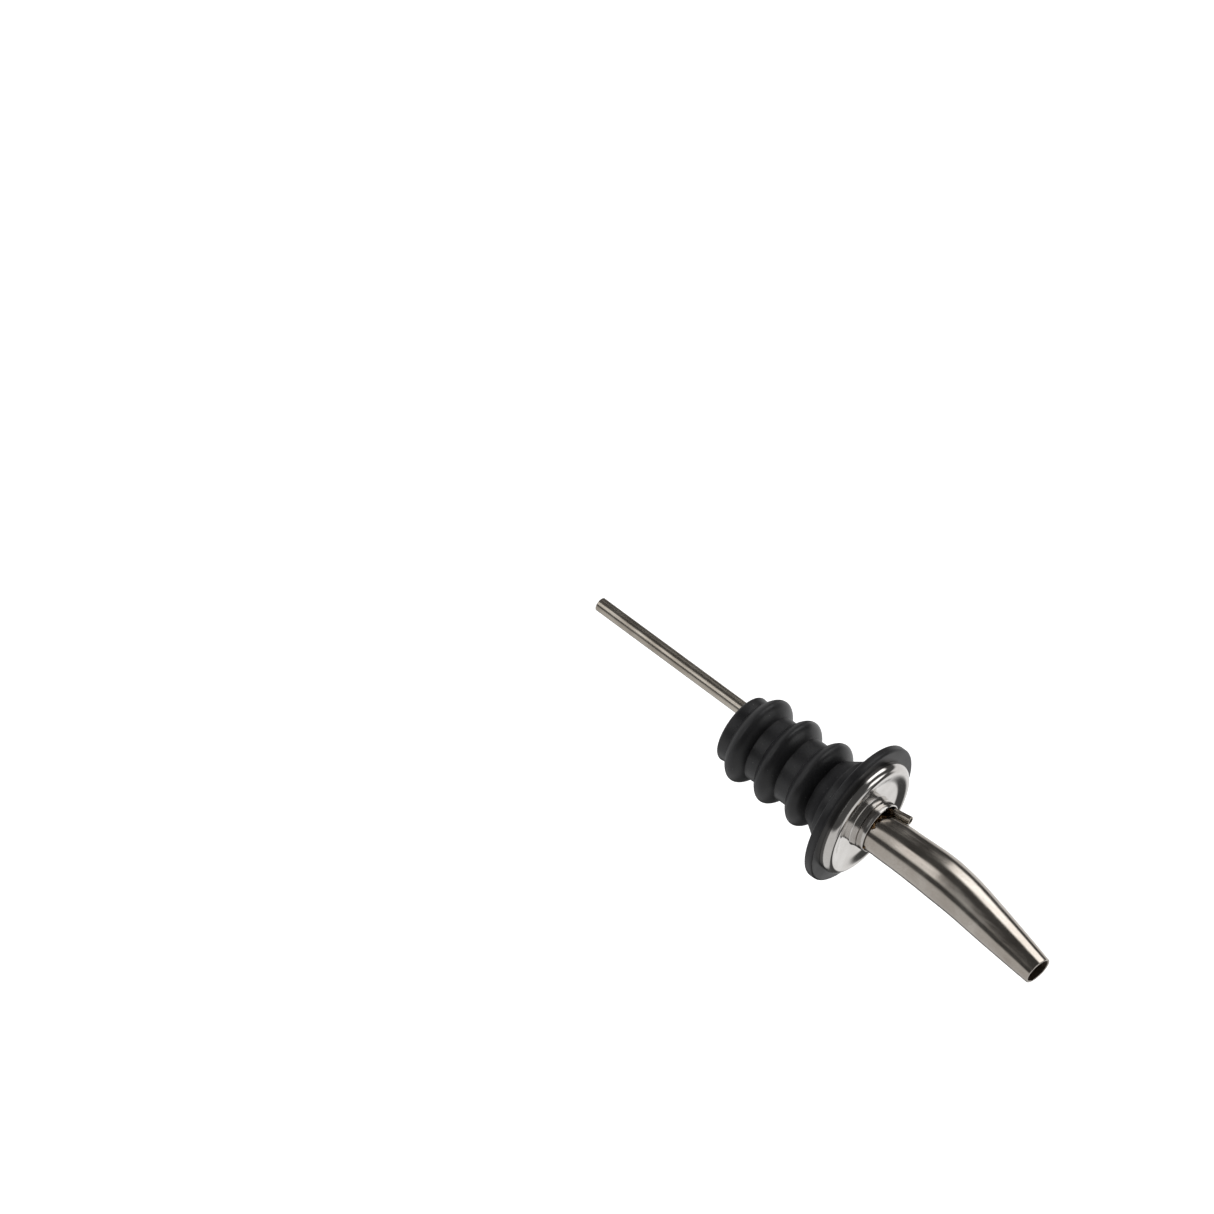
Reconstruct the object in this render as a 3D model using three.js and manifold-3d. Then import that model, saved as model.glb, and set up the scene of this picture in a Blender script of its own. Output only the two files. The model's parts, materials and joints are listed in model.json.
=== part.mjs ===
// A liquor pour spout: a bent metal spout, its clamping cap and vent, and the rubber stopper
// that plugs a bottle. Millimetres, +Z up along the stopper's axis, towards the spout.
// The origin is the centre of the face of the rubber flange that rests on the bottle's rim.
// The spout bends towards +X, and the vent is on the -X side.

import * as THREE from "three";
import { mergeVertices } from "three/addons/utils/BufferGeometryUtils.js";
import Module from "manifold-3d";

const wasm = await Module();
wasm.setup();

// ---------------------------------------------------------------- driving dimensions

const FLANGE_R = 15.0;
const FLANGE_H = 1.8;
const FLANGE_EDGE = 0.3;

const STOPPER_BOTTOM = -28.9;
const STOPPER_END_R = 7.2;
const STOPPER_CORE_R = 7.0;
const STOPPER_BORE_R = 5.12;
const STOPPER_EDGE = 0.7;
const PLUG_R = 9.1;
const PLUG_BOTTOM = -3.4;
const FIN_R = 9.25;
const FIN_HALF_WIDTH = 2.4;
const FIN_HEIGHTS = [-24.1, -16.7, -8.9];

const SEAT_GAP = 0.05;
const WASHER_R = 10.8;
const WASHER_BORE_R = 5.2;
const WASHER_T = 0.5;

const CAP_R = 12.4;
const CAP_ROLL_Z = 2.35;
const CAP_CREST_R = 11.1;
const CAP_CREST_Z = 3.95;
const CAP_DISH_R = 8.2;
const CAP_DISH_Z = 3.3;
const CAP_WALL = 0.5;
const CAP_NECK_FOOT_R = 5.52;
const CAP_NECK_R = 5.38;
const CAP_NECK_BORE_R = 5.06;
const CAP_NECK_TOP = 4.6;

const STEM_R = 5.0;
const STEM_BORE_R = 4.68;
const STEM_BOTTOM = -27.4;
const LIP_R = 5.4;
const LIP_TOP_R = 5.32;
const LIP_BORE_R = 5.05;
const LIP_BOTTOM = 4.75;
const LIP_TOP = 6.3;

const SPOUT_X = 0.58;
const SPOUT_BOTTOM = 0.4;
const SPOUT_SPIGOT_R = 3.6;
const SPOUT_SPIGOT_TOP = 4.3;
const SPOUT_BASE_R = 3.92;
const SPOUT_BASE_BOTTOM = 5.2;
const SPOUT_BASE_SHIFT = 0.36;
const SPOUT_BASE_OVAL = 0.12;
const SPOUT_ROUND_Z = 12.0;
const SPOUT_SHAFT_R = 4.35;
const SPOUT_WAIST_R = 4.62;
const SPOUT_WAIST = 22.5;
const SPOUT_TIP_R = 2.94;
const SPOUT_TIP = 47.97;
const SPOUT_WALL = 0.42;
const BEND_START = 18.0;
const BEND_RADIUS = 80.0;
const BEND_ANGLE = THREE.MathUtils.degToRad(8.9);

const BREATHER_X = -3.18;
const BREATHER_R = 1.45;
const BREATHER_BORE_R = 1.05;
const BREATHER_LEAN = 0.01;
const BREATHER_BOTTOM = -68.3;
const BREATHER_TOP = -3.2;

const NIPPLE_R = 0.86;
const NIPPLE_BORE_R = 0.55;
const NIPPLE_BOTTOM = -10.0;
const NIPPLE_TOP = 10.2;
const NIPPLE_JOG_START = -3.0;
const NIPPLE_JOG_END = -0.3;
const NIPPLE_JOG_X = -3.72;
const NIPPLE_LEAN_START = 3.9;
const NIPPLE_LEAN = 0.14;

const SOLDER_BOTTOM = 4.95;
const SOLDER_TOP = 5.65;
const SOLDER_R = 4.92;
const SOLDER_SPREAD_X = 3.4;

const BODY_SEGMENTS = 32;
const SPOUT_SEGMENTS = 24;
const SMALL_SEGMENTS = 16;

// ---------------------------------------------------------------- shape helpers

// Turns a list of [radius, z] corners about the Z axis. The outline closes on itself.
function turned(outline, segments) {
  const points = outline.map(([r, z]) => new THREE.Vector2(r, z));
  points.push(points[0].clone());
  const geometry = new THREE.LatheGeometry(points, segments);
  geometry.rotateX(Math.PI / 2);
  return geometry;
}

// Corners of a quarter-round edge that swings from one angle to another, in degrees.
function arc(centreR, centreZ, radiusR, radiusZ, from, to, steps) {
  const corners = [];
  for (let i = 0; i <= steps; i += 1) {
    const angle = THREE.MathUtils.degToRad(from + ((to - from) * i) / steps);
    corners.push([centreR + radiusR * Math.cos(angle), centreZ + radiusZ * Math.sin(angle)]);
  }
  return corners;
}

// Bends a straight turned piece so that its axis follows a spine in the XZ plane. The spine
// may also widen the piece in Y.
function followSpine(geometry, spine) {
  const position = geometry.attributes.position;
  for (let i = 0; i < position.count; i += 1) {
    const across = position.getX(i);
    const { x, z, angle, widen = 1 } = spine(position.getZ(i));
    position.setX(i, x + across * Math.cos(angle));
    position.setY(i, position.getY(i) * widen);
    position.setZ(i, z - across * Math.sin(angle));
  }
  return geometry;
}

function cylinderAt(radius, bottom, top, x, segments) {
  const geometry = new THREE.CylinderGeometry(radius, radius, top - bottom, segments);
  geometry.rotateX(Math.PI / 2);
  geometry.translate(x, 0, (bottom + top) / 2);
  return geometry;
}

function toSolid(geometry) {
  const bare = geometry.clone();
  bare.deleteAttribute("normal");
  bare.deleteAttribute("uv");
  const merged = mergeVertices(bare, 1e-5);
  const vertProperties = new Float32Array(merged.attributes.position.array);
  const triVerts = new Uint32Array(merged.index.array);
  return new wasm.Manifold(new wasm.Mesh({ numProp: 3, vertProperties, triVerts }));
}

function toGeometry(solid) {
  const mesh = solid.getMesh();
  const geometry = new THREE.BufferGeometry();
  geometry.setAttribute("position", new THREE.BufferAttribute(mesh.vertProperties, 3));
  geometry.setIndex(new THREE.BufferAttribute(mesh.triVerts, 1));
  geometry.computeVertexNormals();
  return geometry;
}

function piece(name, geometry, color, roughness, metalness) {
  const material = new THREE.MeshStandardMaterial({ color, roughness, metalness });
  const mesh = new THREE.Mesh(geometry, material);
  mesh.name = name;
  return mesh;
}

// ---------------------------------------------------------------- rubber stopper

// One rounded sealing fin, as outline corners from its lower root to its upper root.
function finOutline(height) {
  const steps = 6;
  const corners = [];
  for (let i = 0; i <= steps; i += 1) {
    const across = (2 * i) / steps - 1;
    const swell = Math.cos((across * Math.PI) / 2) ** 0.8;
    const radius = STOPPER_CORE_R + (FIN_R - STOPPER_CORE_R) * swell;
    corners.push([radius, height + across * FIN_HALF_WIDTH]);
  }
  return corners;
}

function stopper() {
  const endEdge = STOPPER_BOTTOM + STOPPER_EDGE;
  const flangeEdge = FLANGE_R - FLANGE_EDGE;
  const outline = [
    [STOPPER_BORE_R, STOPPER_BOTTOM],
    ...arc(STOPPER_END_R - STOPPER_EDGE, endEdge, STOPPER_EDGE, STOPPER_EDGE, -90, 0, 3),
    ...FIN_HEIGHTS.flatMap(finOutline),
    [STOPPER_CORE_R + 0.4, PLUG_BOTTOM - 0.9],
    [PLUG_R, PLUG_BOTTOM],
    [PLUG_R, 0],
    [flangeEdge, 0],
    [FLANGE_R, FLANGE_EDGE],
    [FLANGE_R, FLANGE_H - FLANGE_EDGE],
    [flangeEdge, FLANGE_H],
    [STOPPER_BORE_R, FLANGE_H],
  ];
  return piece("stopper", turned(outline, BODY_SEGMENTS), 0x1c1c1d, 0.55, 0);
}

// ---------------------------------------------------------------- clamping cap and washer

function backingWasher() {
  const bottom = FLANGE_H + SEAT_GAP;
  const top = bottom + WASHER_T;
  const outline = [
    [WASHER_BORE_R, bottom],
    [WASHER_R, bottom],
    [WASHER_R, top],
    [WASHER_BORE_R, top],
  ];
  return piece("backing_washer", turned(outline, BODY_SEGMENTS), 0x9c9a97, 0.4, 1);
}

// The upper skin of the cap from its rim to the top of its drawn neck: a rolled edge, a slope
// down to a flat ring, and the neck. An inset sets it back to give the lower skin.
function capSkin(inset, footRadius, neckRadius) {
  const rollR = CAP_R - CAP_CREST_R - inset;
  const rollZ = CAP_CREST_Z - CAP_ROLL_Z - inset;
  const flat = CAP_DISH_Z - inset;
  return [
    [CAP_R - inset, FLANGE_H + SEAT_GAP],
    ...arc(CAP_CREST_R, CAP_ROLL_Z, rollR, rollZ, 0, 90, 5),
    [(2 * CAP_CREST_R + CAP_DISH_R) / 3, CAP_CREST_Z - 0.14 - inset],
    [(CAP_CREST_R + 2 * CAP_DISH_R) / 3, flat + 0.14],
    [CAP_DISH_R, flat],
    [footRadius + 0.25, flat],
    [footRadius, flat + 0.25],
    [neckRadius, CAP_NECK_TOP],
  ];
}

function collarCap() {
  const upper = capSkin(0, CAP_NECK_FOOT_R, CAP_NECK_R);
  const lower = capSkin(CAP_WALL, CAP_NECK_BORE_R, CAP_NECK_BORE_R);
  const geometry = turned([...upper, ...lower.reverse()], BODY_SEGMENTS);
  return piece("collar_cap", geometry, 0xb9b6b2, 0.16, 1);
}

// ---------------------------------------------------------------- stem through the stopper

function stemTube() {
  const outline = [
    [STEM_BORE_R, STEM_BOTTOM],
    [STEM_R, STEM_BOTTOM],
    [STEM_R, LIP_BOTTOM - 0.05],
    [LIP_R - 0.15, LIP_BOTTOM],
    [LIP_R, LIP_BOTTOM + 0.3],
    [LIP_TOP_R, LIP_TOP - 0.25],
    [LIP_TOP_R - 0.14, LIP_TOP],
    [LIP_BORE_R, LIP_TOP],
    [LIP_BORE_R, LIP_BOTTOM + 0.25],
    [STEM_BORE_R, LIP_BOTTOM - 0.5],
  ];
  return piece("stem_tube", turned(outline, BODY_SEGMENTS), 0xb4b0ab, 0.2, 1);
}

// ---------------------------------------------------------------- spout

// How far the spout's base has settled into its round shaft: 0 at its bottom, 1 at the shaft.
function settled(height) {
  const range = SPOUT_ROUND_Z - SPOUT_BASE_BOTTOM;
  const t = THREE.MathUtils.clamp((height - SPOUT_BASE_BOTTOM) / range, 0, 1);
  return t * (1 + t - t * t);
}

function spoutRadius(height) {
  const { lerp, smoothstep, clamp } = THREE.MathUtils;
  const base = smoothstep(height, SPOUT_SPIGOT_TOP, SPOUT_BASE_BOTTOM);
  const waist = smoothstep(height, SPOUT_ROUND_Z, SPOUT_WAIST);
  const along = clamp((height - SPOUT_WAIST) / (SPOUT_TIP - SPOUT_WAIST), 0, 1);
  const swelled = lerp(lerp(SPOUT_SPIGOT_R, SPOUT_BASE_R, base), SPOUT_SHAFT_R, settled(height));
  return lerp(swelled, SPOUT_WAIST_R, waist) - (SPOUT_WAIST_R - SPOUT_TIP_R) * along ** 1.35;
}

// The spout's centre line: straight, then an arc, then straight again. Its base stands off
// centre and is a little wider in Y, which leaves room for the vent nipple.
function spoutSpine(length) {
  const arcLength = BEND_RADIUS * BEND_ANGLE;
  const along = THREE.MathUtils.clamp(length - BEND_START, 0, arcLength);
  const angle = along / BEND_RADIUS;
  const rest = length - BEND_START - along;
  const squeezed = 1 - settled(length);
  const bent = BEND_RADIUS * (1 - Math.cos(angle)) + rest * Math.sin(angle);
  return {
    x: SPOUT_X + SPOUT_BASE_SHIFT * squeezed + bent,
    z: BEND_START + BEND_RADIUS * Math.sin(angle) + rest * Math.cos(angle),
    angle,
    widen: 1 + SPOUT_BASE_OVAL * squeezed,
  };
}

function spoutTube() {
  const heights = [SPOUT_BOTTOM, SPOUT_SPIGOT_TOP, SPOUT_BASE_BOTTOM, 6.8, 8.4, 10];
  const steps = 13;
  for (let i = 0; i <= steps; i += 1) {
    heights.push(THREE.MathUtils.lerp(SPOUT_ROUND_Z, SPOUT_TIP, i / steps));
  }
  const outer = heights.map((height) => [spoutRadius(height), height]);
  const inner = heights.map((height) => [spoutRadius(height) - SPOUT_WALL, height]);
  const geometry = turned([...outer, ...inner.reverse()], SPOUT_SEGMENTS);
  return piece("spout_tube", followSpine(geometry, spoutSpine), 0x97918a, 0.3, 1);
}

// ---------------------------------------------------------------- vent

// Below the stopper the breather leans out a little.
function breatherSpine(height) {
  const lean = BREATHER_LEAN * Math.max(0, STOPPER_BOTTOM - height);
  return { x: BREATHER_X - lean, z: height, angle: lean > 0 ? Math.atan(BREATHER_LEAN) : 0 };
}

function breatherTube() {
  const outline = [
    [BREATHER_BORE_R, BREATHER_BOTTOM],
    [BREATHER_R, BREATHER_BOTTOM],
    [BREATHER_R, STOPPER_BOTTOM],
    [BREATHER_R, BREATHER_TOP],
    [BREATHER_BORE_R, BREATHER_TOP],
    [BREATHER_BORE_R, STOPPER_BOTTOM],
  ];
  const geometry = turned(outline, SMALL_SEGMENTS);
  return piece("breather_tube", followSpine(geometry, breatherSpine), 0x8d857c, 0.28, 1);
}

// The nipple's centre line: down inside the breather, a small jog out, then a slight lean.
function nippleSpine(height) {
  const jog = THREE.MathUtils.smoothstep(height, NIPPLE_JOG_START, NIPPLE_JOG_END);
  const lean = NIPPLE_LEAN * Math.max(0, height - NIPPLE_LEAN_START);
  const x = THREE.MathUtils.lerp(BREATHER_X, NIPPLE_JOG_X, jog) - lean;
  return { x, z: height, angle: lean > 0 ? -Math.atan(NIPPLE_LEAN) : 0 };
}

function ventNipple() {
  const heights = [NIPPLE_BOTTOM, NIPPLE_JOG_START, -2.1, -1.2, NIPPLE_JOG_END, 3.8, 4.1, NIPPLE_TOP];
  const outer = heights.map((height) => [NIPPLE_R, height]);
  const inner = heights.map((height) => [NIPPLE_BORE_R, height]);
  const geometry = turned([...outer, ...inner.reverse()], SMALL_SEGMENTS);
  return piece("vent_nipple", followSpine(geometry, nippleSpine), 0x8a8177, 0.3, 1);
}

// ---------------------------------------------------------------- solder

// Solder fills the crescent between the spout and the stem's lip on each side of the nipple.
function solderFillet(name, side) {
  const disc = toSolid(cylinderAt(SOLDER_R, SOLDER_BOTTOM, SOLDER_TOP, 0, BODY_SEGMENTS));
  const spoutX = SPOUT_X + SPOUT_BASE_SHIFT;
  const oval = cylinderAt(SPOUT_BASE_R + 0.1, 4, 7, spoutX, SPOUT_SEGMENTS);
  oval.scale(1, 1 + SPOUT_BASE_OVAL, 1);
  const ventX = nippleSpine((SOLDER_BOTTOM + SOLDER_TOP) / 2).x;
  const vent = toSolid(cylinderAt(NIPPLE_R + 0.16, 4, 7, ventX, SPOUT_SEGMENTS));
  const reach = SOLDER_R + SOLDER_SPREAD_X;
  const half = new THREE.BoxGeometry(reach, SOLDER_R, 4);
  half.translate(SOLDER_SPREAD_X - reach / 2, (side * SOLDER_R) / 2, SOLDER_TOP);
  const solid = disc.subtract(toSolid(oval)).subtract(vent).intersect(toSolid(half));
  return piece(name, toGeometry(solid), 0x8a6a3c, 0.35, 1);
}

// ---------------------------------------------------------------- assembly

const pourSpout = new THREE.Group();
pourSpout.add(
  stopper(),
  backingWasher(),
  collarCap(),
  stemTube(),
  spoutTube(),
  ventNipple(),
  breatherTube(),
  solderFillet("solder_front", -1),
  solderFillet("solder_back", 1),
);

export default pourSpout;
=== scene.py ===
"""A liquor pour spout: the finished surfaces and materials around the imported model."""

import json
import math

import bmesh
import bpy
from mathutils import Matrix, Vector


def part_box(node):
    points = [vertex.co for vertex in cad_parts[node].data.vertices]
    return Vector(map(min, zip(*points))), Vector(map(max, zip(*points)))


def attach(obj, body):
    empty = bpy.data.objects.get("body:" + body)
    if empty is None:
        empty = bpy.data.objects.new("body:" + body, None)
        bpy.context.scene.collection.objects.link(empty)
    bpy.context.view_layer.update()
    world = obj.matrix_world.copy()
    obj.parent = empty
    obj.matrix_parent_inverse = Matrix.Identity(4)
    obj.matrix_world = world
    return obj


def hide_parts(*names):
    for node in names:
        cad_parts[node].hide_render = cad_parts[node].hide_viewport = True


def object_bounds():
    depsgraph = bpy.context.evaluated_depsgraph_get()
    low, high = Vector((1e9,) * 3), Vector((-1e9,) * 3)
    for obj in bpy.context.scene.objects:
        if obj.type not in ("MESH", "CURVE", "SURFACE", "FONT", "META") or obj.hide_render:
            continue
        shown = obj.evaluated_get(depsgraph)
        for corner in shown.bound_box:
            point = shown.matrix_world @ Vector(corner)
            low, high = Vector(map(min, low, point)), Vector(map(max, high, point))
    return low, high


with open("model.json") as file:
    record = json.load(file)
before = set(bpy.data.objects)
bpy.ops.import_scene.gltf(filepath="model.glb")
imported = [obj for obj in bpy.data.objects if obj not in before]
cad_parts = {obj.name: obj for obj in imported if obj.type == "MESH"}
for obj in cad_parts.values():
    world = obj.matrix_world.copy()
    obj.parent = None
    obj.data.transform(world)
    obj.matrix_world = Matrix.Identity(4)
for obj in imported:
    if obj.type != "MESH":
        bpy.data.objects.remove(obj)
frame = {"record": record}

CAD_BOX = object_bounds()
MM = 0.001

# ---------------------------------------------------------------- camera

CAMERA_PLACE = Vector((0.06296, -0.74009, 0.26300))
CAMERA_RIGHT = Vector((-0.61144, 0.27528, 0.74187))
CAMERA_UP = Vector((-0.78701, -0.30898, -0.53399))
CAMERA_LENS = 122.5


def add_camera():
    """The long lens looks down on the piece from its -Y side, rolled so that the spout points
    to the lower right."""
    data = bpy.data.cameras.new("camera")
    data.lens = CAMERA_LENS
    data.sensor_width = 36
    data.clip_start = 0.01
    data.clip_end = 50
    camera = bpy.data.objects.new("camera", data)
    bpy.context.collection.objects.link(camera)
    right = CAMERA_RIGHT.normalized()
    back = right.cross(CAMERA_UP).normalized()
    up = back.cross(right)
    turn = Matrix((right, up, back)).transposed().to_4x4()
    camera.matrix_world = Matrix.Translation(CAMERA_PLACE) @ turn
    bpy.context.scene.camera = camera


add_camera()

# ---------------------------------------------------------------- sizes, in millimetres


def span(node, axis):
    """The lowest and highest value of a CAD node along an axis, in millimetres."""
    low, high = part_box(node)
    return low[axis] / MM, high[axis] / MM


STOPPER_BOTTOM, FLANGE_H = span("stopper", 2)
FLANGE_R = span("stopper", 0)[1]
FLANGE_EDGE = 0.45
STOPPER_END_R = 7.2
STOPPER_CORE_R = 7.0
STOPPER_BORE_R = 5.12
STOPPER_EDGE = 0.7
STOPPER_BORE_EDGE = 0.2
PLUG_R = 9.1
PLUG_BOTTOM = -3.4
PLUG_FOOT = (0.5, 0.4)
PLUG_FLARE = 0.15
FIN_R = 9.25
FIN_HALF_WIDTH = 2.4
FIN_HEIGHTS = (-24.1, -16.7, -8.9)

CAP_RIM_Z = span("collar_cap", 2)[0]
CAP_NECK_TOP = span("collar_cap", 2)[1]
CAP_R = span("collar_cap", 0)[1]
CAP_ROLL_Z = 2.35
CAP_CREST_R = 11.1
CAP_CREST_Z = 3.95
CAP_DISH_R = 8.2
CAP_DISH_Z = 3.3
CAP_WALL = 0.5
CAP_NECK_FOOT_R = 5.52
CAP_NECK_R = 5.38
CAP_NECK_BORE_R = 5.06

WASHER_BORE_R = 5.2
WASHER_EDGE = 0.12

STEM_BOTTOM, LIP_TOP = span("stem_tube", 2)
STEM_R = 5.0
STEM_BORE_R = 4.68
LIP_R = 5.4
LIP_TOP_R = 5.32
LIP_BORE_R = 5.05
LIP_BOTTOM = 4.75

SPOUT_X = 0.58
SPOUT_BOTTOM = span("spout_tube", 2)[0]
SPOUT_SPIGOT_R = 3.6
SPOUT_SPIGOT_TOP = 4.3
SPOUT_BASE_R = 3.92
SPOUT_BASE_BOTTOM = 5.2
SPOUT_BASE_SHIFT = 0.36
SPOUT_BASE_OVAL = 0.12
SPOUT_ROUND_Z = 12.0
SPOUT_SHAFT_R = 4.35
SPOUT_WAIST_R = 4.62
SPOUT_WAIST = 22.5
SPOUT_TIP_R = 2.94
SPOUT_TIP = 47.97
SPOUT_WALL = 0.42
BEND_START = 18.0
BEND_RADIUS = 80.0
BEND_ANGLE = math.radians(8.9)

BREATHER_BOTTOM, BREATHER_TOP = span("breather_tube", 2)
BREATHER_X = -3.18
BREATHER_R = 1.45
BREATHER_BORE_R = 1.05
BREATHER_LEAN = 0.01

NIPPLE_R = 0.86
NIPPLE_BORE_R = 0.55
NIPPLE_BOTTOM = -10.0
NIPPLE_TOP = 10.2
NIPPLE_JOG = (-3.0, -0.3)
NIPPLE_JOG_X = -3.72
NIPPLE_LEAN_START = 3.9
NIPPLE_LEAN = 0.14

# ---------------------------------------------------------------- mesh helpers


def smoothstep(value, low, high):
    t = min(1.0, max(0.0, (value - low) / (high - low)))
    return t * t * (3 - 2 * t)


def arc(centre, radii, start, end, steps):
    """Points of a round edge, from one angle to another in degrees, around centre (r, z)."""
    points = []
    for i in range(steps + 1):
        angle = math.radians(start + (end - start) * i / steps)
        across, up = radii[0] * math.cos(angle), radii[1] * math.sin(angle)
        points.append((centre[0] + across, centre[1] + up))
    return points


def rounded(corners, radius, steps=4):
    """A closed outline whose corners are rounded off by a small radius."""
    points = []
    count = len(corners)
    for i, corner in enumerate(corners):
        here = Vector(corner)
        before = Vector(corners[i - 1]) - here
        after = Vector(corners[(i + 1) % count]) - here
        reach = min(radius, before.length * 0.45, after.length * 0.45)
        start = here + before.normalized() * reach
        end = here + after.normalized() * reach
        for k in range(steps + 1):
            t = k / steps
            point = start.lerp(here, t).lerp(here.lerp(end, t), t)
            points.append((point.x, point.y))
    return points


def turned_mesh(outline, segments, shape=None):
    """A closed outline of (radius, height) turned about Z. shape moves each point of it."""
    bm = bmesh.new()
    rings = []
    for radius, height in outline:
        ring = []
        for k in range(segments):
            angle = 2 * math.pi * k / segments
            point = Vector((radius * math.cos(angle), radius * math.sin(angle), height))
            if shape:
                point = shape(point)
            ring.append(bm.verts.new(point * MM))
        rings.append(ring)
    for i, ring in enumerate(rings):
        above = rings[(i + 1) % len(rings)]
        for k in range(segments):
            j = (k + 1) % segments
            bm.faces.new((ring[k], ring[j], above[j], above[k]))
    bmesh.ops.recalc_face_normals(bm, faces=bm.faces)
    return bm


def add_piece(name, bm, node, material, sharp=35):
    """Makes a mesh piece that stands for a CAD node and rides on that node's body."""
    mesh = bpy.data.meshes.new(name)
    bm.to_mesh(mesh)
    bm.free()
    mesh.shade_smooth()
    mesh.set_sharp_from_angle(angle=math.radians(sharp))
    mesh.materials.append(material)
    piece = bpy.data.objects.new(name, mesh)
    bpy.context.collection.objects.link(piece)
    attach(piece, BODY_OF[node])
    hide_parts(node)
    return piece


BODY_OF = {
    node: body
    for body, nodes in frame["record"]["behaviour"]["bodies"].items()
    for node in nodes
}

# ---------------------------------------------------------------- materials


class Material:
    """A node material with short calls for the few node kinds that the finishes use."""

    def __init__(self, name, color, roughness, metallic):
        self.material = bpy.data.materials.new(name)
        self.material.use_nodes = True
        self.tree = self.material.node_tree
        self.shader = self.tree.nodes["Principled BSDF"]
        self.shader.inputs["Base Color"].default_value = (*color, 1)
        self.shader.inputs["Roughness"].default_value = roughness
        self.shader.inputs["Metallic"].default_value = metallic
        self.coordinates = self.tree.nodes.new("ShaderNodeTexCoord")

    def link(self, source, target):
        self.tree.links.new(source, target)

    def noise(self, scale, detail=4.0, stretch=(1, 1, 1), distortion=0.0):
        mapping = self.tree.nodes.new("ShaderNodeMapping")
        mapping.inputs["Scale"].default_value = stretch
        self.link(self.coordinates.outputs["Object"], mapping.inputs["Vector"])
        noise = self.tree.nodes.new("ShaderNodeTexNoise")
        noise.inputs["Scale"].default_value = scale
        noise.inputs["Detail"].default_value = detail
        noise.inputs["Distortion"].default_value = distortion
        self.link(mapping.outputs["Vector"], noise.inputs["Vector"])
        return noise.outputs["Fac"]

    def ramp(self, source, stops):
        """Colours a noise by stops of (place, colour) in rising order."""
        ramp = self.tree.nodes.new("ShaderNodeValToRGB")
        elements = ramp.color_ramp.elements
        for element, (place, color) in zip(elements, (stops[0], stops[-1])):
            element.position = place
            element.color = (*color, 1)
        for place, color in stops[1:-1]:
            elements.new(place).color = (*color, 1)
        self.link(source, ramp.inputs["Fac"])
        return ramp.outputs["Color"]

    def spread(self, source, low, high):
        """Maps a noise's middle range to low..high."""
        node = self.tree.nodes.new("ShaderNodeMapRange")
        node.inputs["From Min"].default_value = 0.3
        node.inputs["From Max"].default_value = 0.7
        node.inputs["To Min"].default_value = low
        node.inputs["To Max"].default_value = high
        self.link(source, node.inputs["Value"])
        return node.outputs["Result"]

    def add(self, first, second):
        node = self.tree.nodes.new("ShaderNodeMath")
        node.operation = "ADD"
        self.link(first, node.inputs[0])
        self.link(second, node.inputs[1])
        return node.outputs["Value"]

    def multiply(self, first, second):
        node = self.tree.nodes.new("ShaderNodeVectorMath")
        node.operation = "MULTIPLY"
        self.link(first, node.inputs[0])
        self.link(second, node.inputs[1])
        return node.outputs["Vector"]

    def color_from(self, source):
        self.link(source, self.shader.inputs["Base Color"])

    def roughness_from(self, source):
        self.link(source, self.shader.inputs["Roughness"])

    def bump_from(self, source, strength, distance):
        bump = self.tree.nodes.new("ShaderNodeBump")
        bump.inputs["Strength"].default_value = strength
        bump.inputs["Distance"].default_value = distance
        self.link(source, bump.inputs["Height"])
        self.link(bump.outputs["Normal"], self.shader.inputs["Normal"])


def satin_steel():
    """Drawn stainless steel: fine lengthwise grain, dark pits and soft patches from handling."""
    made = Material("satin_steel", (0.53, 0.50, 0.465), 0.2, 1)
    grain = made.noise(2400, 4, (1, 1, 0.05))
    patches = made.noise(170, 6, distortion=0.4)
    pits = made.noise(5200, 3, (1, 1, 0.6))
    metal = made.ramp(patches, [(0.3, (0.44, 0.395, 0.35)), (0.7, (0.575, 0.535, 0.485))])
    pitted = made.ramp(pits, [(0.32, (0.91, 0.90, 0.89)), (0.55, (1, 1, 1))])
    made.color_from(made.multiply(metal, pitted))
    rough = made.add(made.spread(grain, -0.04, 0.05), made.spread(patches, 0.15, 0.22))
    made.roughness_from(rough)
    made.bump_from(grain, 0.25, 0.000012)
    return made.material


def bore_steel():
    """The unpolished inside of the drawn tube: dull and a little brown."""
    made = Material("bore_steel", (0.40, 0.34, 0.28), 0.45, 1)
    stains = made.noise(420, 5)
    made.color_from(made.ramp(stains, [(0.3, (0.30, 0.24, 0.19)), (0.7, (0.52, 0.46, 0.39))]))
    made.roughness_from(made.spread(stains, 0.38, 0.55))
    return made.material


def polished_steel():
    """Polished pressed steel, a little soft, with faint wiping marks."""
    made = Material("polished_steel", (0.66, 0.645, 0.625), 0.12, 1)
    marks = made.noise(900, 4, (1, 0.2, 1), 0.6)
    smudges = made.noise(240, 6)
    metal = made.ramp(smudges, [(0.3, (0.60, 0.575, 0.55)), (0.7, (0.72, 0.70, 0.675))])
    made.color_from(metal)
    rough = made.add(made.spread(marks, -0.015, 0.025), made.spread(smudges, 0.09, 0.17))
    made.roughness_from(rough)
    made.bump_from(smudges, 0.12, 0.00002)
    return made.material


def vent_steel():
    """Small drawn tube, a little browner than the spout."""
    made = Material("vent_steel", (0.50, 0.46, 0.40), 0.25, 1)
    grain = made.noise(3000, 3, (1, 1, 0.05))
    tarnish = made.noise(260, 5)
    made.color_from(made.ramp(tarnish, [(0.3, (0.41, 0.365, 0.31)), (0.7, (0.60, 0.55, 0.48))]))
    made.roughness_from(made.spread(grain, 0.20, 0.30))
    made.bump_from(grain, 0.2, 0.00002)
    return made.material


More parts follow.
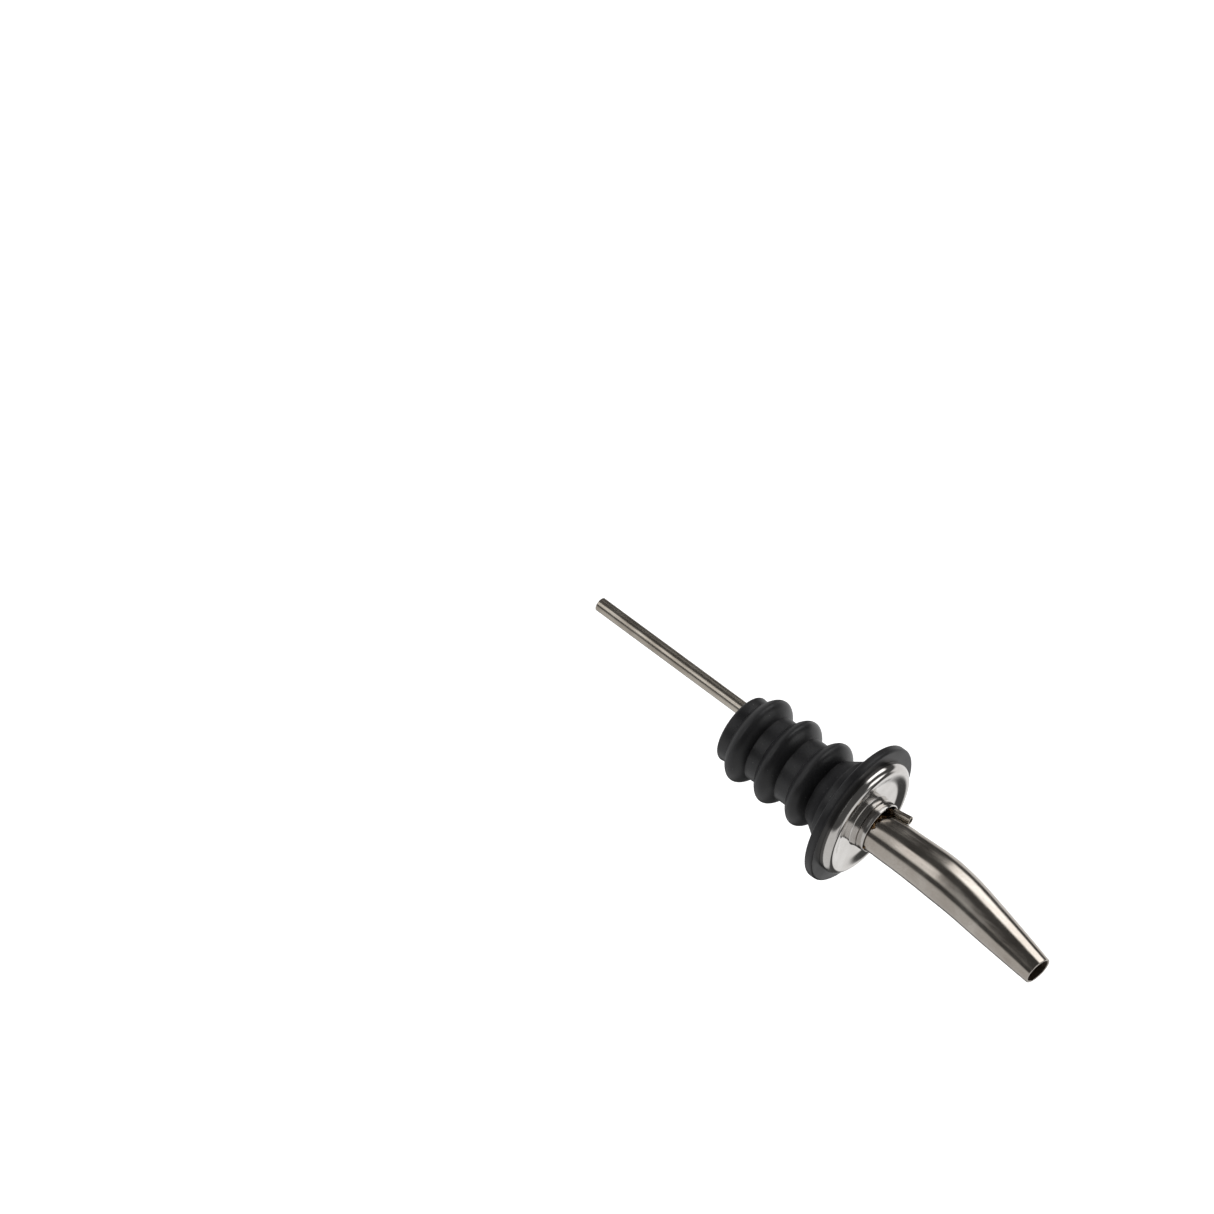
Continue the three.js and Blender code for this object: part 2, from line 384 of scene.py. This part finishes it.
def washer_steel():
    """Plain stamped steel with a rolled grain."""
    made = Material("washer_steel", (0.5, 0.49, 0.48), 0.35, 1)
    grain = made.noise(1800, 3, (1, 0.05, 1))
    made.color_from(made.ramp(grain, [(0.3, (0.44, 0.43, 0.42)), (0.7, (0.54, 0.53, 0.52))]))
    made.roughness_from(made.spread(grain, 0.28, 0.42))
    made.bump_from(grain, 0.2, 0.00002)
    return made.material


def black_rubber():
    """Moulded black rubber: a fine matt skin with a little bloom and a few pale specks."""
    made = Material("black_rubber", (0.016, 0.016, 0.017), 0.36, 0)
    made.shader.inputs["Specular IOR Level"].default_value = 0.4
    skin = made.noise(4200, 3)
    bloom = made.noise(140, 5)
    specks = made.noise(4200, 1)
    base = made.ramp(bloom, [(0.35, (0.011, 0.011, 0.012)), (0.7, (0.021, 0.021, 0.022))])
    speck_color = made.ramp(specks, [(0.74, (0, 0, 0)), (0.80, (0.10, 0.10, 0.10))])
    mix = made.tree.nodes.new("ShaderNodeMix")
    mix.data_type = "RGBA"
    mix.blend_type = "ADD"
    mix.inputs["Factor"].default_value = 1
    made.link(base, mix.inputs["A"])
    made.link(speck_color, mix.inputs["B"])
    made.color_from(mix.outputs["Result"])
    made.roughness_from(made.spread(bloom, 0.30, 0.42))
    made.bump_from(skin, 0.25, 0.00003)
    return made.material


def solder():
    """Uneven solder: dark grey metal with gold and brown flux stains. Its darkest, near-black
    tones are painted shade for the gap between the spout and the lip.
    """
    made = Material("solder", (0.2, 0.12, 0.06), 0.25, 1)
    stains = made.noise(700, 4, distortion=0.5)
    # The two darkest stops are painted shade for the gap around the spout's foot. The lighter
    # stops are the solder's own gold and brown flux stains.
    stops = [
        (0.3, (0.05, 0.03, 0.018)),
        (0.46, (0.12, 0.07, 0.035)),
        (0.6, (0.42, 0.25, 0.10)),
        (0.75, (0.55, 0.45, 0.33)),
    ]
    made.color_from(made.ramp(stains, stops))
    made.roughness_from(made.spread(stains, 0.16, 0.34))
    made.bump_from(stains, 0.3, 0.00004)
    return made.material


SATIN = satin_steel()
POLISHED = polished_steel()
VENT = vent_steel()
WASHER = washer_steel()
RUBBER = black_rubber()
SOLDER_AND_GAP_SHADE = solder()

# ---------------------------------------------------------------- rubber stopper


def fin_radius(height):
    """The stopper's radius at a height between its end and its plug."""
    radius = STOPPER_CORE_R
    for centre in FIN_HEIGHTS:
        across = abs(height - centre) / FIN_HALF_WIDTH
        if across < 1:
            swell = math.cos(across * math.pi / 2) ** 0.8
            radius = max(radius, STOPPER_CORE_R + (FIN_R - STOPPER_CORE_R) * swell)
    return radius


def add_stopper():
    edge = STOPPER_BOTTOM + STOPPER_EDGE
    radii = (STOPPER_EDGE, STOPPER_EDGE)
    bore_edge_r = STOPPER_BORE_R + STOPPER_BORE_EDGE
    outline = [(STOPPER_BORE_R, STOPPER_BOTTOM + STOPPER_BORE_EDGE), (bore_edge_r, STOPPER_BOTTOM)]
    outline += arc((STOPPER_END_R - STOPPER_EDGE, edge), radii, -90, 0, 8)
    low = FIN_HEIGHTS[0] - FIN_HALF_WIDTH - 0.2
    high = FIN_HEIGHTS[-1] + FIN_HALF_WIDTH + 0.2
    steps = 110
    for i in range(steps + 1):
        height = low + (high - low) * i / steps
        outline.append((fin_radius(height), height))
    foot_r, foot_rise = PLUG_FOOT
    outline += arc((PLUG_R - foot_r, PLUG_BOTTOM + foot_rise), (foot_r, foot_r), -60, 0, 5)
    outline += [(PLUG_R, -PLUG_FLARE), (PLUG_R + PLUG_FLARE, 0)]
    inner = FLANGE_R - FLANGE_EDGE
    radii = (FLANGE_EDGE, FLANGE_EDGE)
    outline += arc((inner, FLANGE_EDGE), radii, -90, 0, 6)
    outline += arc((inner, FLANGE_H - FLANGE_EDGE), radii, 0, 90, 6)
    outline += [(bore_edge_r, FLANGE_H), (STOPPER_BORE_R, FLANGE_H - STOPPER_BORE_EDGE)]
    add_piece("rubber_stopper", turned_mesh(outline, 160), "stopper", RUBBER)


# ---------------------------------------------------------------- cap and washer


def add_washer():
    low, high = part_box("backing_washer")
    corners = [
        (WASHER_BORE_R, low.z / MM),
        (high.x / MM, low.z / MM),
        (high.x / MM, high.z / MM),
        (WASHER_BORE_R, high.z / MM),
    ]
    bm = turned_mesh(rounded(corners, WASHER_EDGE), 96)
    add_piece("backing_washer_fine", bm, "backing_washer", WASHER)


def cap_skin(inset, foot_radius, neck_radius):
    """The cap's skin from its rim: a rolled edge, a slope to a flat ring, and the neck."""
    roll = (CAP_R - CAP_CREST_R - inset, CAP_CREST_Z - CAP_ROLL_Z - inset)
    points = [(CAP_R - inset, CAP_RIM_Z)]
    points += arc((CAP_CREST_R, CAP_ROLL_Z), roll, 0, 90, 24)
    steps = 16
    for i in range(1, steps + 1):
        t = i / steps
        radius = CAP_CREST_R + (CAP_DISH_R - CAP_CREST_R) * t
        drop = (CAP_CREST_Z - CAP_DISH_Z) * smoothstep(t, 0, 1)
        points.append((radius, CAP_CREST_Z - drop - inset))
    flat = CAP_DISH_Z - inset
    fillet = 0.22
    centre = (foot_radius + fillet, flat + fillet)
    points += arc(centre, (fillet, fillet), 270, 180, 8)
    points.append((neck_radius, CAP_NECK_TOP - 0.08))
    return points


def add_cap():
    middle = ((CAP_NECK_R + CAP_NECK_BORE_R) / 2, CAP_NECK_TOP)
    outer = cap_skin(0, CAP_NECK_FOOT_R, CAP_NECK_R)
    inner = cap_skin(CAP_WALL, CAP_NECK_BORE_R, CAP_NECK_BORE_R)
    bm = turned_mesh(outer + [middle] + inner[::-1], 192)
    add_piece("pressed_cap", bm, "collar_cap", POLISHED)


# ---------------------------------------------------------------- stem and its lip


def nipple_spine(height):
    """Where the vent nipple's centre line is at a height, and how far it leans."""
    jog = smoothstep(height, *NIPPLE_JOG)
    lean = NIPPLE_LEAN * max(0.0, height - NIPPLE_LEAN_START)
    x = BREATHER_X + (NIPPLE_JOG_X - BREATHER_X) * jog - lean
    return x, height, -math.atan(NIPPLE_LEAN) if lean > 0 else 0.0


def add_stem():
    foot, top = 0.22, 0.2
    outline = [(STEM_BORE_R, STEM_BOTTOM), (STEM_R, STEM_BOTTOM), (STEM_R, LIP_BOTTOM - 0.05)]
    outline += arc((LIP_R - foot, LIP_BOTTOM + foot), (foot, foot), -90, 0, 6)
    outline += arc((LIP_TOP_R - top, LIP_TOP - top), (top, top), 0, 90, 8)
    outline += [(LIP_BORE_R + 0.03, LIP_TOP), (LIP_BORE_R, LIP_TOP - 0.04)]
    outline += [(LIP_BORE_R, LIP_BOTTOM + 0.25), (STEM_BORE_R, LIP_BOTTOM - 0.5)]
    bm = turned_mesh(outline, 192)
    add_piece("stem_and_lip", bm, "stem_tube", POLISHED)


# ---------------------------------------------------------------- spout


def settled(height):
    """How far the spout's base has settled into its round shaft: 0 at its bottom, then 1."""
    t = (height - SPOUT_BASE_BOTTOM) / (SPOUT_ROUND_Z - SPOUT_BASE_BOTTOM)
    t = min(1.0, max(0.0, t))
    return t * (1 + t - t * t)


def spout_radius(height):
    base = smoothstep(height, SPOUT_SPIGOT_TOP, SPOUT_BASE_BOTTOM)
    waist = smoothstep(height, SPOUT_ROUND_Z, SPOUT_WAIST)
    along = min(1.0, max(0.0, (height - SPOUT_WAIST) / (SPOUT_TIP - SPOUT_WAIST)))
    radius = SPOUT_SPIGOT_R + (SPOUT_BASE_R - SPOUT_SPIGOT_R) * base
    radius += (SPOUT_SHAFT_R - radius) * settled(height)
    radius += (SPOUT_WAIST_R - radius) * waist
    return radius - (SPOUT_WAIST_R - SPOUT_TIP_R) * along**1.35


def on_spout(point):
    """Bends the straight tube: straight, then an arc towards +X, then straight again. Its base
    stands off centre and is a little wider in Y, beside the vent nipple."""
    along = min(BEND_RADIUS * BEND_ANGLE, max(0.0, point.z - BEND_START))
    angle = along / BEND_RADIUS
    rest = point.z - BEND_START - along
    squeezed = 1 - settled(point.z)
    x = SPOUT_X + SPOUT_BASE_SHIFT * squeezed
    x += BEND_RADIUS * (1 - math.cos(angle)) + rest * math.sin(angle)
    y = point.y * (1 + SPOUT_BASE_OVAL * squeezed)
    z = BEND_START + BEND_RADIUS * math.sin(angle) + rest * math.cos(angle)
    return Vector((x + point.x * math.cos(angle), y, z - point.x * math.sin(angle)))


def add_spout():
    steps = 120
    segments = 128
    edge = 0.07
    heights = [SPOUT_BOTTOM + (SPOUT_TIP - SPOUT_BOTTOM) * i / steps for i in range(steps + 1)]
    outer = [(spout_radius(height), height) for height in heights[:-1]]
    outer += [(SPOUT_TIP_R, SPOUT_TIP - edge), (SPOUT_TIP_R - edge, SPOUT_TIP)]
    inner_r = SPOUT_TIP_R - SPOUT_WALL
    rim = [(inner_r + edge, SPOUT_TIP), (inner_r, SPOUT_TIP - edge)]
    inner = [(spout_radius(height) - SPOUT_WALL, height) for height in heights[:-1]]
    bm = turned_mesh(outer + rim + inner[::-1], segments, on_spout)
    piece = add_piece("bent_spout", bm, "spout_tube", SATIN)
    piece.data.materials.append(bore_steel())
    first_inside = (len(outer) + len(rim) - 1) * segments
    last_inside = (len(outer) + len(rim) + len(inner) - 1) * segments
    for face in piece.data.polygons[first_inside:last_inside]:
        face.material_index = 1


# ---------------------------------------------------------------- vent


def on_nipple(point):
    x, z, angle = nipple_spine(point.z)
    return Vector((x + point.x * math.cos(angle), point.y, z - point.x * math.sin(angle)))


def on_breather(point):
    """Below the stopper the breather leans out a little."""
    lean = BREATHER_LEAN * max(0.0, STOPPER_BOTTOM - point.z)
    return point + Vector((BREATHER_X - lean, 0, 0))


def tube_outline(bore, radius, heights, edge):
    """The outline of a plain tube, with its end edges taken off a little."""
    low, high = heights[0], heights[-1]
    outline = [(bore, low + edge), (bore + edge, low), (radius - edge, low), (radius, low + edge)]
    outline += [(radius, height) for height in heights[1:-1]]
    outline += [(radius, high - edge), (radius - edge, high)]
    outline += [(bore + edge, high), (bore, high - edge)]
    outline += [(bore, height) for height in heights[-2:0:-1]]
    return outline


def add_vent():
    steps = 60
    heights = [NIPPLE_BOTTOM + (NIPPLE_TOP - NIPPLE_BOTTOM) * i / steps for i in range(steps + 1)]
    outline = tube_outline(NIPPLE_BORE_R, NIPPLE_R, heights, 0.06)
    bm = turned_mesh(outline, 48, on_nipple)
    add_piece("air_nipple", bm, "vent_nipple", VENT)

    steps = 24
    length = BREATHER_TOP - BREATHER_BOTTOM
    heights = [BREATHER_BOTTOM + length * i / steps for i in range(steps + 1)]
    outline = tube_outline(BREATHER_BORE_R, BREATHER_R, heights, 0.12)
    bm = turned_mesh(outline, 64, on_breather)
    add_piece("air_tube", bm, "breather_tube", VENT)


# ---------------------------------------------------------------- solder

# Each bead is its angle from +X in degrees, how far up it stands and its radius.
FRONT_BEADS = [
    (107, 0.75, 0.3),
    (100, 0.4, 0.22),
    (85, 0.65, 0.25),
    (80, 0.95, 0.33),
    (75, 0.8, 0.24),
    (15, 0.75, 0.28),
]
BACK_BEADS = [(118, 0.4, 0.3), (72, 0.5, 0.26), (66, 0.45, 0.2)]
SOLDER_RUN = range(30, 158, 4)
SOLDER_DEPTH = 1.0
SOLDER_VOXEL = 0.06


def spout_edge(angle):
    """How far the outside of the spout's base is from the stem's axis in a direction."""
    centre = SPOUT_X + SPOUT_BASE_SHIFT
    wide = SPOUT_BASE_R * (1 + SPOUT_BASE_OVAL)
    c, s = math.cos(angle) / SPOUT_BASE_R, math.sin(angle) / wide
    back = centre / SPOUT_BASE_R
    a, b = c * c + s * s, c * back
    return (b + math.sqrt(b * b - a * (back * back - 1))) / a


def add_solder(node, side, beads):
    """A low run of solder between the spout and the lip, with beads that stand up on it."""
    top = span(node, 2)[1]
    bm = bmesh.new()

    def blob(degrees, height, size, flat=1.0):
        angle = math.radians(degrees)
        inside = max(spout_edge(angle), LIP_BORE_R - SOLDER_DEPTH)
        reach = (LIP_BORE_R - 0.06 + inside) / 2
        place = (reach * math.cos(angle), reach * math.sin(angle) * side, height)
        spot = Matrix.Translation(Vector(place) * MM)
        scale = Matrix.Diagonal((size * MM, size * MM, size * flat * MM, 1))
        bmesh.ops.create_icosphere(bm, subdivisions=3, radius=1, matrix=spot @ scale)

    # The run fills the gap between spout and lip. Its solder material darkens it with painted
    # shade.
    for degrees in SOLDER_RUN:
        gap = min(LIP_BORE_R - spout_edge(math.radians(degrees)), SOLDER_DEPTH)
        blob(degrees, top - 0.3, gap * 0.48, 0.7)
    for degrees, height, size in beads:
        blob(degrees, top + height, size)
    piece = add_piece(node + "_beads", bm, node, SOLDER_AND_GAP_SHADE, 180)
    remesh = piece.modifiers.new("run_together", "REMESH")
    remesh.mode = "VOXEL"
    remesh.voxel_size = SOLDER_VOXEL * MM
    remesh.use_smooth_shade = True
    smooth = piece.modifiers.new("soften", "SMOOTH")
    smooth.factor = 0.5
    smooth.iterations = 2


add_stopper()
add_washer()
add_cap()
add_stem()
add_spout()
add_vent()
add_solder("solder_front", -1, FRONT_BEADS)
add_solder("solder_back", 1, BACK_BEADS)

# ---------------------------------------------------------------- floor and light

FLOOR_SIZE = 6.0
FLOOR_DROP = 0.12


def add_floor():
    """A wide pale floor well below the piece, which a bottle would hold up."""
    bm = bmesh.new()
    bmesh.ops.create_grid(bm, x_segments=1, y_segments=1, size=FLOOR_SIZE)
    mesh = bpy.data.meshes.new("floor")
    bm.to_mesh(mesh)
    bm.free()
    material = bpy.data.materials.new("floor")
    material.use_nodes = True
    shader = material.node_tree.nodes["Principled BSDF"]
    shader.inputs["Base Color"].default_value = (0.9, 0.9, 0.9, 1)
    shader.inputs["Roughness"].default_value = 0.9
    shader.inputs["Emission Color"].default_value = (1, 1, 1, 1)
    shader.inputs["Emission Strength"].default_value = 0.9
    mesh.materials.append(material)
    floor = bpy.data.objects.new("floor", mesh)
    floor.location.z = CAD_BOX[0].z - FLOOR_DROP
    bpy.context.collection.objects.link(floor)
    floor.visible_glossy = False


# A half width past 180 by more than a panel's edge closes the panel into a full round.
ALL_ROUND = 190

# Soft white panels around the piece: azimuth and elevation of the middle, half width and half
# height, all in degrees, then the brightness. Azimuth runs from +X towards +Y.
PANELS = {
    "left": (198, -3, 22, 10, 2.1),
    "left_high": (188, 46, 24, 10, 1.8),
    "back": (118, 6, 30, 28, 0.85),
    "right": (14, 14, 46, 48, 0.6),
    "front_low": (-81, -24, 20, 7, 1.3),
    "above": (0, 82, ALL_ROUND, 14, 0.7),
    "below": (0, -65, ALL_ROUND, 30, 0.4),
}
PANEL_EDGE = 5
SURROUND = 0.07
MARGIN = 0.001


def sine(degrees):
    """The sine of an elevation, which stops at straight up or straight down."""
    return math.sin(math.radians(min(90, max(-90, degrees))))


def cosine(degrees):
    """The cosine of a half width, which stops at a half turn."""
    return math.cos(math.radians(min(180, degrees)))


class Studio:
    """The world: soft white panels in a dim room, and plain white where the camera sees it."""

    def __init__(self):
        self.world = bpy.data.worlds.new("studio")
        self.world.use_nodes = True
        self.tree = self.world.node_tree
        direction = self.tree.nodes.new("ShaderNodeTexCoord").outputs["Generated"]
        self.height = self.vector("DOT_PRODUCT", direction, (0, 0, 1), "Value")
        self.heading = self.vector("NORMALIZE", self.vector("MULTIPLY", direction, (1, 1, 0)))
        self.light = None

    def vector(self, operation, first, second=None, output="Vector"):
        node = self.tree.nodes.new("ShaderNodeVectorMath")
        node.operation = operation
        self.tree.links.new(first, node.inputs[0])
        if second is not None:
            node.inputs[1].default_value = second
        return node.outputs[output]

    def math(self, operation, first, second):
        """The second value is a socket or a number."""
        node = self.tree.nodes.new("ShaderNodeMath")
        node.operation = operation
        self.tree.links.new(first, node.inputs[0])
        if isinstance(second, float):
            node.inputs[1].default_value = second
        else:
            self.tree.links.new(second, node.inputs[1])
        return node.outputs["Value"]

    def edge(self, source, start, end, low, high):
        """Goes from low to high as the source goes from start to end, or at once if they meet."""
        if end - start < MARGIN:
            start, end = (start - MARGIN, end) if low < high else (start, end + MARGIN)
        node = self.tree.nodes.new("ShaderNodeMapRange")
        node.interpolation_type = "SMOOTHSTEP"
        names = ("From Min", "From Max", "To Min", "To Max")
        for name, value in zip(names, (start, end, low, high)):
            node.inputs[name].default_value = value
        self.tree.links.new(source, node.inputs["Value"])
        return node.outputs["Result"]

    def add_panel(self, azimuth, elevation, half_width, half_height, brightness):
        facing = (math.cos(math.radians(azimuth)), math.sin(math.radians(azimuth)), 0)
        across = self.vector("DOT_PRODUCT", self.heading, facing, "Value")
        outside, inside = half_width + PANEL_EDGE, half_width - PANEL_EDGE
        wide = self.edge(across, cosine(outside), cosine(inside), 0, 1)
        bottom, top = elevation - half_height, elevation + half_height
        foot = self.edge(self.height, sine(bottom - PANEL_EDGE), sine(bottom + PANEL_EDGE), 0, 1)
        low, high = sine(top - PANEL_EDGE), sine(top + PANEL_EDGE)
        head = self.edge(self.height, low, high, brightness, 0)
        panel = self.math("MULTIPLY", self.math("MULTIPLY", wide, foot), head)
        self.light = self.math("MAXIMUM", self.light or panel, panel)

    def finish(self):
        seen = self.tree.nodes.new("ShaderNodeLightPath").outputs["Is Camera Ray"]
        light = self.math("ADD", self.light, SURROUND)
        background = self.tree.nodes["Background"]
        background.inputs["Color"].default_value = (1, 1, 1, 1)
        self.tree.links.new(self.math("MAXIMUM", light, seen), background.inputs["Strength"])
        bpy.context.scene.world = self.world


def add_studio():
    studio = Studio()
    for panel in PANELS.values():
        studio.add_panel(*panel)
    studio.finish()


add_floor()
add_studio()
bpy.context.scene.view_settings.view_transform = "Standard"
